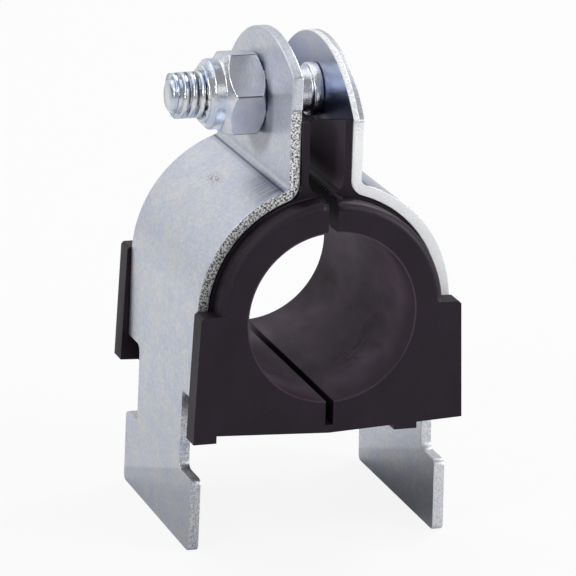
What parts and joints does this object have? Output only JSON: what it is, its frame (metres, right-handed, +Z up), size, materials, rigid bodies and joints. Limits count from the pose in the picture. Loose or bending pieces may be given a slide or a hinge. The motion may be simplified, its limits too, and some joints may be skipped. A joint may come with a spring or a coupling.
{
  "type": "strut pipe clamp",
  "caption": "Two folded steel strap halves with feet that hook into strut channel, clamped round a split rubber cushion by a shoulder bolt and a lock nut.",
  "frame": {"origin": "centre of the pipe bore, halfway along the cushion", "axes": "+Y along the pipe towards the back, +Z up to the ears and the bolt, X along the bolt with the nut on the minus side"},
  "size_m": [0.039, 0.0388, 0.071],
  "materials": {
    "zinc_steel": "zinc plated sheet steel, satin, with sheared grey edges",
    "bright_zinc": "bright zinc plated turned steel",
    "black_rubber": "moulded black rubber, satin",
    "nylon": "pale nylon"
  },
  "bodies": {
    "clamp_base": {"right_half": "zinc_steel", "cushion": "black_rubber", "shoulder_bolt": "bright_zinc"},
    "left_strap": {"left_half": "zinc_steel"},
    "nut": {"lock_nut": "bright_zinc", "nut_insert": "nylon"}
  },
  "joints": [
    {"name": "left_half_slide", "type": "slide", "parent": "clamp_base", "child": "left_strap", "axis": [-1, 0, 0], "range_m": [0, 0.005]},
    {"name": "nut_turn", "type": "hinge", "parent": "left_strap", "child": "nut", "pos_m": [-0.01, 0, 0.0274], "axis": [-1, 0, 0], "range_deg": [0, 1418]}
  ],
  "couplings": [
    {"joint": "nut_turn", "follows": "left_half_slide", "rad_per_m": 4947.4}
  ]
}
